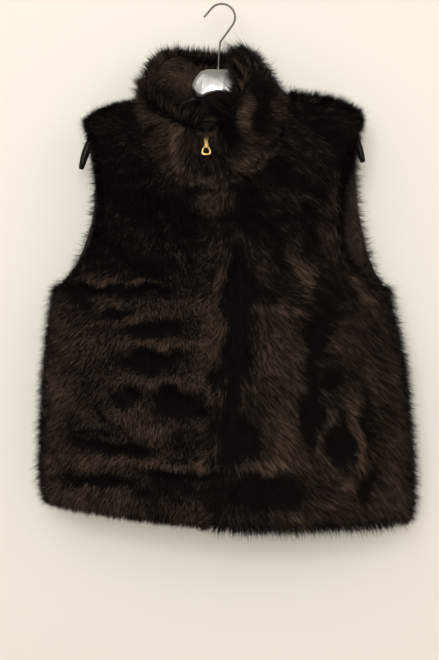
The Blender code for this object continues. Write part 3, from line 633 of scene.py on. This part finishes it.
# Patches of painted sheen and painted fold shade on the collar's front, which also raise or sink its skin
COLLAR_PATCHES = (
    Patch(-0.070, -0.199, 90, 0.028, 0.011, 0.40),
    Patch(0.010, -0.172, 90, 0.048, 0.011, -0.42),
    Patch(0.033, -0.162, 90, 0.034, 0.012, 0.38),
    Patch(0.058, -0.160, 90, 0.048, 0.011, -0.35),
    Patch(-0.015, -0.270, 0, 0.039, 0.009, 0.42),
    Patch(0.054, -0.239, 25, 0.036, 0.008, 0.45),
    Patch(-0.061, -0.239, -61, 0.028, 0.007, 0.35),
    Patch(0.025, -0.122, 90, 0.036, 0.014, 0.30),
    Patch(0.074, -0.170, 90, 0.036, 0.009, -0.35),
    Patch(-0.102, -0.158, 60, 0.010, 0.007, -0.50),
    Patch(-0.110, -0.193, 0, 0.009, 0.008, -0.50),
    Patch(-0.022, -0.192, 0, 0.012, 0.009, -0.30),
)
# Patches of painted sheen and painted fold shade on the back, which also raise or sink its skin
BACK_PATCHES = (
    Patch(-0.020, -0.300, 3, 0.090, 0.012, 0.30),
    Patch(0.060, -0.335, -6, 0.070, 0.010, -0.40),
    Patch(-0.110, -0.410, 12, 0.060, 0.011, 0.35),
    Patch(0.090, -0.430, -14, 0.070, 0.012, 0.30),
    Patch(-0.040, -0.455, 2, 0.080, 0.013, -0.45),
    Patch(0.150, -0.520, 80, 0.060, 0.012, -0.40),
    Patch(-0.160, -0.540, 75, 0.060, 0.012, -0.35),
    Patch(0.020, -0.540, -4, 0.080, 0.011, 0.35),
    Patch(-0.080, -0.610, 6, 0.070, 0.012, -0.40),
    Patch(0.100, -0.630, -8, 0.060, 0.011, 0.35),
    Patch(-0.020, -0.680, 0, 0.110, 0.010, 0.30),
)
PATCH_RISE = 0.0034
PATCH_GAIN = 1.35
PATCH_SPREAD = 1.12
BACK_LUSTRE = 0.62
COLLAR_LUSTRE = 0.50
TONE_AND_PAINTED_LIGHT_RANGE = (0.06, 1.4)

# Painted light inside the collar: painted shade at its front, growing lighter towards its back and slanted
# across
NECK_SLANT = 0.3
NECK_DEPTHS = (-0.05, 0.02)
NECK_PAINTED_LIGHT = (0.18, 0.80)

# Unevenness: how far a patch's outline strays along an axis, and soft clouds of random tone in the tips'
# lightness
Stray = namedtuple("Stray", "axis far spacing seed")
STRAYS = (
    Stray(0, 0.006, 0.045, 21),
    Stray(0, 0.002, 0.013, 22),
    Stray(2, 0.004, 0.055, 23),
    Stray(2, 0.0015, 0.016, 24),
)
Cloud = namedtuple("Cloud", "strength squat spacing seed")
CLOUDS = (
    Cloud(0.14, 1, 0.085, 11),
    Cloud(0.12, 2.2, 0.040, 12),
)
DRIFT_WAVES = 7
DRIFT_RATES = (0.6, 1.5)
DRIFT_LEVEL = 3


def unit(vectors):
    """Vectors of length 1 along the given ones."""
    return vectors / np.maximum(np.linalg.norm(vectors, axis=-1, keepdims=True), 1e-9)


def drift(places, spacing, seed):
    """Smooth wandering between about -1 and 1, with the given distance from crest to crest."""
    rng = np.random.default_rng(seed)
    ways = unit(rng.normal(size=(DRIFT_WAVES, 3)))
    waves = ways * (2 * math.pi / spacing) * rng.uniform(*DRIFT_RATES, (DRIFT_WAVES, 1))
    starts = rng.uniform(0, 2 * math.pi, DRIFT_WAVES)
    return np.sin(places @ waves.T + starts).sum(axis=1) / DRIFT_LEVEL


def patched(node, places):
    """Sum of the patches' gains at each point of a panel, on the collar's front alone: painted sheen above
    0 and painted fold shade below 0.
    """
    total = np.zeros(len(places))
    strayed = places.copy()
    for stray in STRAYS:
        strayed[:, stray.axis] += stray.far * drift(places, stray.spacing, stray.seed)
    rows = {"collar_outer": COLLAR_PATCHES, "collar_inner": (), "back": BACK_PATCHES}.get(node, PATCHES)
    for patch in rows:
        lean = math.radians(patch.lean)
        x = strayed[:, 0] - patch.across
        z = strayed[:, 2] - patch.height
        along = (x * math.cos(lean) + z * math.sin(lean)) / (patch.length * PATCH_SPREAD)
        over = (z * math.cos(lean) - x * math.sin(lean)) / (patch.width * PATCH_SPREAD)
        total += PATCH_GAIN * patch.gain * np.exp(-((along**2 + over**2) ** 2))
    if node == "collar_outer":
        total *= places[:, 1] < 0
    return total


def tone_and_painted_light(node, places):
    """How light the pile's tips are at each point, within their range: random clouds of tone with painted
    sheen and painted shade.
    """
    light = np.zeros(len(places))
    for cloud in CLOUDS:
        light += cloud.strength * drift(places * (1, 1, cloud.squat), cloud.spacing, cloud.seed)
    if node.startswith("front"):
        light += read(PAINTED_SHEEN_BY_HEIGHT, node.replace("front_", ""), places[:, 2])
    elif node == "collar_inner":
        light += np.interp(places[:, 1] - NECK_SLANT * places[:, 0], NECK_DEPTHS, NECK_PAINTED_LIGHT)
    else:
        light += BACK_LUSTRE if node == "back" else COLLAR_LUSTRE
    return np.clip(light + patched(node, places), *TONE_AND_PAINTED_LIGHT_RANGE)


def lie_on_collar(places):
    """Way in which the collar's pile lies at each point."""
    radial = places[:, :2] - COLLAR_MIDDLE
    turn = np.arctan2(radial[:, 0], -radial[:, 1])
    swept = np.clip(turn / SWEEP_FROM, -1, 1) * SWEEP_MOST
    swept *= np.clip((math.pi - np.abs(turn)) / SWEEP_END, 0, 1)
    way = np.stack([np.cos(turn) * swept, np.sin(turn) * swept, np.abs(swept) - SWEEP_DOWN], axis=1)
    way[:, :2] += SWEEP_OUT * unit(radial)
    return way


def lie_on_body(node, places):
    """Way in which the pile of the fronts or the back lies at each point."""
    lean = read(NAPS, "lean", places[:, 0])
    if node == "back":
        lean = lean * BACK_LEAN
    beside = np.clip((np.abs(places[:, 0]) - ARMHOLE_FROM) / ARMHOLE_FADE[0], 0, 1)
    above = np.clip((places[:, 2] - UNDERARM) / ARMHOLE_FADE[1], 0, 1)
    lean = lean * (1 - ARMHOLE_STRAIGHT * beside * above)
    lean = np.radians(lean + NAP_STRAY * drift(places, NAP_SPACING, NAP_SEED))
    way = np.stack([np.sin(lean), 0 * lean, -np.cos(lean)], axis=1)
    shoulder = np.clip((places[:, 2] - SHOULDER_FROM) / SHOULDER_FADE, 0, 1)[:, None]
    sideways = np.stack([np.sign(places[:, 0]), 0 * lean, 0 * lean - SHOULDER_DOWN], axis=1)
    return way * (1 - shoulder) + sideways * shoulder


def lie(node, places, facings):
    """Unit way along the skin in which the pile lies at each point."""
    way = lie_on_collar(places) if node.startswith("collar") else lie_on_body(node, places)
    return unit(way - facings * np.sum(way * facings, axis=1, keepdims=True))


def edge_share(node, facings):
    """1 on a panel's cut edges and on the collar's rim, 0 on its open face."""
    if node.startswith("collar"):
        return np.interp(facings[:, 2], RIM_FACING, (0, 1))
    return np.interp(-np.abs(facings[:, 1]), (-EDGE_FACING[0], -EDGE_FACING[1]), (0, 1))


def skin_of(coat):
    """Places, facings and outer triangles of the skin that a coat grows on, raised by its patches."""
    skin = finer_copy(coat.node, coat.node + "_skin", levels=2, keep_edges=True)
    skin.data.calc_loop_triangles()
    places, facings = points_of(skin.data)
    corners = np.empty(len(skin.data.loop_triangles) * 3, np.int32)
    skin.data.loop_triangles.foreach_get("vertices", corners)
    corners = corners.reshape(-1, 3)
    bpy.data.objects.remove(skin)
    places = places + facings * (PATCH_RISE * patched(coat.node, places))[:, None]
    middle_facings = unit(facings[corners].mean(axis=1))
    outer = facing_out(coat.node, places[corners].mean(axis=1), middle_facings) > OUTER_FROM
    return places, facings, corners[outer]


def near_zip(node, places):
    """1 at the zip, falling to 0 where the hair no longer covers it."""
    if node == "collar_inner":
        return np.zeros(len(places))
    cover = COLLAR_COVER if node == "collar_outer" else ZIP_COVER
    near = np.clip(1 - np.abs(places[:, 0] - ZIP_LINE) / cover, 0, 1)
    return np.sqrt(near * (places[:, 1] < 0))


def near_seam(places, facings):
    """1 at a side seam, falling to 0 where the hair no longer covers it."""
    near = np.clip(SIDE_FULL - np.abs(places[:, 1]) / SIDE_COVER, 0, 1)
    near *= (np.abs(places[:, 0]) > SIDE_FROM) & (places[:, 2] < UNDERARM)
    return near * (facings[:, 2] > SIDE_HEM)


def turn_in(coat, rng, place, facing, edge):
    """Move some of the back's armhole hair in over the lining's edge, and say which."""
    turned = (edge > TURNED_FROM) & (rng.random(coat.hairs) < TURNED_SHARE)
    turned &= (np.abs(place[:, 0]) > SIDE_FROM) & (place[:, 2] > UNDERARM) & (place[:, 2] < ARMHOLE_TOP)
    turned &= coat.node == "back"
    for number in np.flatnonzero(turned):
        x, _, z = place[number]
        x -= math.copysign(rng.uniform(0, TURNING), x)
        met, point, _, _ = hides["back"].ray_cast((x, CAST_FROM, z), (0, 1, 0))
        if met:
            place[number] = (point.x, point.y - TURNED_OVER, point.z)
            facing[number] = (0, -1, 0)
            edge[number] = 0
    return turned


def leaders(coat, rng, place, edge):
    """For each hair, the number of the hair that leads its lock."""
    fewer = 1 + EDGE_LOCKS * EDGE_DENSITY * edge
    chosen = np.flatnonzero(rng.random(coat.hairs) * fewer < 1 / LOCK_HAIRS)
    nearest = KDTree(len(chosen))
    for number in chosen:
        nearest.insert(place[number], number)
    nearest.balance()
    return np.array([nearest.find(point)[1] for point in place])


Roots = namedtuple("Roots", "place facing edge zip seam turned lock")


def plant(coat, rng):
    """Roots of a coat's hairs: denser on edges, facing out at the zip and sideways at the seams."""
    places, facings, corners = skin_of(coat)
    a, b, c = (places[corners[:, k]] for k in range(3))
    sizes = np.linalg.norm(np.cross(b - a, c - a), axis=1)
    sizes *= 1 + EDGE_DENSITY * edge_share(coat.node, unit(facings[corners].mean(axis=1)))
    picked = rng.choice(len(corners), coat.hairs, p=sizes / sizes.sum())
    share = rng.dirichlet((1, 1, 1), coat.hairs)
    place = np.einsum("ik,ikj->ij", share, places[corners[picked]])
    facing = unit(np.einsum("ik,ikj->ij", share, facings[corners[picked]]))
    by_zip = near_zip(coat.node, place)
    facing = unit(facing * (1 - by_zip[:, None]) + np.array((0, -1, 0)) * by_zip[:, None])
    by_seam = near_seam(place, facing)
    sideways = np.sign(place) * (1, 0, 0)
    facing = unit(facing * (1 - by_seam[:, None]) + sideways * by_seam[:, None])
    edge = edge_share(coat.node, facing) * (1 - SIDE_EDGE * by_seam)
    turned = turn_in(coat, rng, place, facing, edge)
    return Roots(place, facing, edge, by_zip, by_seam, turned, leaders(coat, rng, place, edge))


def comb_rim(coat, rng, roots, way, length, rise):
    """Way, length and rise of a collar's hair once the hair of its rim falls in over the neck or out."""
    x, y = roots.place[:, 0], roots.place[:, 1]
    by_plate = (x > 0) & (y < RIM_PLATE_DEPTH)
    by_arm = (np.abs(x - RIM_ARM_PLACE) < RIM_ARM_HALF) & (y < 0)
    inwards, longer, lifted = np.array(RIMS)[np.select([by_plate, by_arm], [0, 1], 2)].T
    fall = np.where(rng.random(coat.hairs) < inwards, -1, 1)
    radial = unit((roots.place - (*COLLAR_MIDDLE, 0)) * (1, 1, 0))
    way = unit(way + radial * (RIM_FALL * roots.edge * fall)[:, None])
    way[by_plate] += roots.edge[by_plate, None] * RIM_PLATE_WAY
    return way, length * (1 + roots.edge * longer), lifted * rise


def comb(coat, rng, roots):
    """Way along the skin, lift in radians and length of each hair, and which hairs are wisps."""
    x, y, z = roots.place.T
    way = lie(coat.node, roots.place, roots.facing)
    side = np.cross(roots.facing, way)
    swing = rng.normal(0, LOCK_SWING, coat.hairs)[roots.lock] + rng.normal(0, HAIR_SWING, coat.hairs)
    way = way * np.cos(swing)[:, None] + side * np.sin(swing)[:, None]
    length = coat.length * rng.uniform(*LOCK_LENGTHS, coat.hairs)[roots.lock]
    length *= rng.uniform(*HAIR_LENGTHS, coat.hairs)
    rise = roots.edge * (1 - roots.seam) * EDGE_LIFT
    if coat.node.startswith("collar"):
        way, length, rise = comb_rim(coat, rng, roots, way, length, rise)
    else:
        length *= 1 - EDGE_SHORT * roots.edge
    zip_side = np.sign(x - ZIP_LINE)
    way[:, 0] -= zip_side * roots.zip * ZIP_CLOSE
    if coat.node == "collar_outer":
        from_pull = np.hypot((x - ZIP_LINE) / PULL_COVER[0], (z - PULL_HEAD) / PULL_COVER[1])
        over_pull = np.clip(PULL_FULL - from_pull, 0, 1) * (y < 0)
        way[:, 0] -= over_pull * (way[:, 0] + PULL_CLOSE * zip_side)
        way[:, 2] -= over_pull
        length *= 1 + PULL_LONGER * over_pull
        rise = rise + PULL_LIFT * over_pull
    way[:, 1] += roots.seam * (-SIDE_CLOSE if coat.node == "back" else SIDE_CLOSE)
    lift = coat.lift + rise + roots.turned * TURNED_LIFT
    lift += rng.normal(0, LOCK_LIFT, coat.hairs)[roots.lock]
    lift += rng.normal(0, HAIR_LIFT, coat.hairs)
    lift += roots.seam * rng.normal(*SEAM_LIFTS, coat.hairs)[roots.lock]
    length *= 1 + roots.seam * rng.uniform(*SEAM_LENGTHS, coat.hairs)[roots.lock]
    edge_wisps = EDGE_WISPS * (roots.edge + roots.seam) * (coat.node != "collar_outer")
    wisp = rng.random(coat.hairs) < WISPS + edge_wisps
    length *= np.where(wisp, WISP_LENGTH, 1)
    return unit(way), np.radians(lift + wisp * WISP_LIFT), length, wisp


def tips(coat, roots, start, rest, wisp):
    """Tips of the hairs, drawn together in their locks and kept near the solids' box."""
    pull = np.where(wisp, WISP_PULL, coat.pull + EDGE_PULL * (roots.edge + roots.seam))[:, None]
    apart = (roots.place - roots.place[roots.lock]) * LOCK_SPREAD
    tip = start + rest
    tip += (tip[roots.lock] + apart - tip) * pull
    return np.clip(tip, np.array(solid_low) - REACH, np.array(solid_high) + REACH)


def grow(coat):
    """One panel's hair as a new object: a blade from two root corners to a tip for each hair."""
    rng = np.random.default_rng(coat.seed)
    roots = plant(coat, rng)
    way, lift, length, wisp = comb(coat, rng, roots)
    start = roots.place - roots.facing * coat.depth
    rest = (way * np.cos(lift)[:, None] + roots.facing * np.sin(lift)[:, None]) * length[:, None]
    rest[:, 2] -= HAIR_DROOP * length
    tip = tips(coat, roots, start, rest, wisp)

    along = unit(tip - start)
    flat = unit(np.cross(along, roots.facing))
    raised = np.cross(flat, along)
    roll = rng.normal(0, HAIR_ROLL, coat.hairs)[:, None]
    across = flat * np.cos(roll) + raised * np.sin(roll)
    out = raised * np.cos(roll) - flat * np.sin(roll)
    wider = np.where(wisp, WISP_WIDTH + EDGE_WISP_WIDTH * roots.edge, 1 + EDGE_WIDTH * roots.edge)
    half = (HAIR_HALF * rng.uniform(*HAIR_WIDTHS, coat.hairs) * wider)[:, None]
    blades = np.stack([start - across * half, start + across * half, tip], axis=1)
    rounded = np.stack([out - across, out + across, out], axis=1)

    # The tips' shade: random tone with painted sheen and painted shade, further darkened by painted shade
    # on wisps and on cut edges
    shade = tone_and_painted_light(coat.node, tip) * rng.uniform(*LOCK_SHADES, coat.hairs)[roots.lock]
    shade *= rng.lognormal(*HAIR_SHADE, coat.hairs) * np.where(wisp, WISP_PAINTED_SHADE, 1)
    shade *= 1 - roots.edge * (COLLAR_EDGE_PAINTED_SHADE if coat.node.startswith("collar") else EDGE_PAINTED_SHADE)
    shades = np.stack([shade * ROOT_SHADE, shade * ROOT_SHADE, shade], axis=1) / SHADE_MOST

    mesh = bpy.data.meshes.new(coat.node + "_pile")
    mesh.vertices.add(coat.hairs * 3)
    mesh.vertices.foreach_set("co", blades.ravel())
    mesh.loops.add(coat.hairs * 3)
    mesh.loops.foreach_set("vertex_index", np.arange(coat.hairs * 3))
    mesh.polygons.add(coat.hairs)
    mesh.polygons.foreach_set("loop_start", np.arange(coat.hairs) * 3)
    mesh.update(calc_edges=True)
    mesh.polygons.foreach_set("use_smooth", np.ones(coat.hairs, bool))
    tints = mesh.attributes.new("shade", "FLOAT", "POINT")
    tints.data.foreach_set("value", np.clip(shades, 0, 1).ravel())
    mesh.normals_split_custom_set_from_vertices(unit(rounded).reshape(-1, 3))
    piece = bpy.data.objects.new(coat.node + "_pile", mesh)
    bpy.context.scene.collection.objects.link(piece)
    return piece


GUARD_BROWN = (0.02, 0.013, 0.010, 1)
GUARD_GLEAM = (1.0, 0.60, 0.42, 1)
Tone = namedtuple("Tone", "shade strength")
TONES = (
    Tone(0.0, 0.0018),
    Tone(0.10, 0.0060),
    Tone(0.25, 0.030),
    Tone(0.50, 0.15),
    Tone(1.0, 0.40),
)
TONE_GREEN = 0.66
TONE_BLUE = 0.47

guard, tree, shader = paint("guard_hair", GUARD_BROWN, roughness=0.40)
shader.inputs["Specular IOR Level"].default_value = 0.07
shader.inputs["Specular Tint"].default_value = GUARD_GLEAM
hair_shade = tree.nodes.new("ShaderNodeAttribute")
hair_shade.attribute_name = "shade"
ramp = tree.nodes.new("ShaderNodeValToRGB")
for number, tone in enumerate(TONES):
    steps = ramp.color_ramp.elements
    step = steps[number] if number < 2 else steps.new(tone.shade)
    step.position = tone.shade
    step.color = (tone.strength, tone.strength * TONE_GREEN, tone.strength * TONE_BLUE, 1)
tree.links.new(hair_shade.outputs["Fac"], ramp.inputs["Fac"])
tree.links.new(ramp.outputs["Color"], shader.inputs["Base Color"])
for coat in COATS:
    pile = grow(coat)
    pile.data.materials.append(guard)
    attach(pile, "garment")
    cut = next(row for row in FUR_CUTS if row.node == coat.node)

# Zip tapes: dark woven tape sewn behind the edges of the fronts.
# Their solids have the right form, so they only take a woven finish.
TAPE_BLACK = (0.003, 0.002, 0.0016, 1)

woven, tree, shader = paint("woven_tape", TAPE_BLACK, roughness=0.75)
shader.inputs["Specular IOR Level"].default_value = 0.05
grain(tree, shader, scale=1400, detail=2, strength=0.4, distance=0.0003, stretch=(1, 1, 0.6))
for node in ("zip_tape_left", "zip_tape_right"):
    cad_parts[node].data.materials.clear()
    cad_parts[node].data.materials.append(woven)

# Chain: two rows of moulded dark teeth that lock into each other between the tapes.
# The fur of both fronts hides it. One tooth is modelled and copied along the chain's solid.
TOOTH_BROWN = (0.008, 0.006, 0.005, 1)
TOOTH_PITCH = 0.0030
TOOTH_HALF = (0.0017, 0.0012, 0.00085)
TOOTH_ROUND = 0.0004
TOOTH_APART = 0.0009


def chain_depth(x, z):
    """Middle of the chain's solid, from front to back, at a point of the front view."""
    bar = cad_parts["zip_chain"]
    front = bar.ray_cast((x, -1, z), (0, 1, 0))[1]
    behind = bar.ray_cast((x, 1, z), (0, -1, 0))[1]
    return (front.y + behind.y) / 2


moulded, tree, shader = paint("moulded_teeth", TOOTH_BROWN, roughness=0.45)
shader.inputs["Specular IOR Level"].default_value = 0.08
grain(tree, shader, scale=500, detail=3, strength=0.1, distance=0.0003)
places, _ = points_of(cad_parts["zip_chain"].data)
lowest, highest = places[:, 2].min(), places[:, 2].max()
heights = np.arange(lowest + TOOTH_PITCH, highest - TOOTH_PITCH, TOOTH_PITCH / 2)
middle_x = places[:, 0].mean()
bpy.ops.object.select_all(action="DESELECT")
bpy.ops.mesh.primitive_cube_add(size=2)
tooth = bpy.context.object
tooth.scale = TOOTH_HALF
bpy.ops.object.transform_apply(scale=True)
rounding = tooth.modifiers.new("rounding", "BEVEL")
rounding.width = TOOTH_ROUND
rounding.segments = 1
bpy.ops.object.modifier_apply(modifier=rounding.name)
teeth = []
for number, height in enumerate(heights):
    side = 1 if number % 2 else -1
    copy = bpy.data.objects.new("tooth", tooth.data.copy())
    bpy.context.scene.collection.objects.link(copy)
    x = middle_x + side * TOOTH_APART
    copy.location = (x, chain_depth(x, height), height)
    teeth.append(copy)
bpy.data.objects.remove(tooth)
bpy.ops.object.select_all(action="DESELECT")
for copy in teeth:
    copy.select_set(True)
bpy.context.view_layer.objects.active = teeth[0]
bpy.ops.object.join()
chain = bpy.context.object
bpy.ops.object.transform_apply(location=True)
chain.name = "chain"
chain.data.materials.append(moulded)
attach(chain, "garment")
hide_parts("zip_chain")

# Slider and pull: die-cast and gilt, with their edges rounded by tumbling.
# The pull hangs from the slider's bail with its ring at the bottom.
GILT = (0.27, 0.172, 0.062, 1)
SLIDER_ROUND = 0.00025
PULL_ROUND = 0.00035

gilt, tree, shader = paint("gilt", GILT, roughness=0.30)
shader.inputs["Metallic"].default_value = 1
grain(tree, shader, scale=500, detail=3, strength=0.1, distance=0.0003)
slider = finer_copy("zip_slider", "slider", bevel=SLIDER_ROUND)
slider.data.materials.append(gilt)
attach(slider, "garment")
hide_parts("zip_slider")
pull = finer_copy("zip_pull", "pull_tab", bevel=PULL_ROUND)
pull.data.materials.append(gilt)
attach(pull, "pull")
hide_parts("zip_pull")
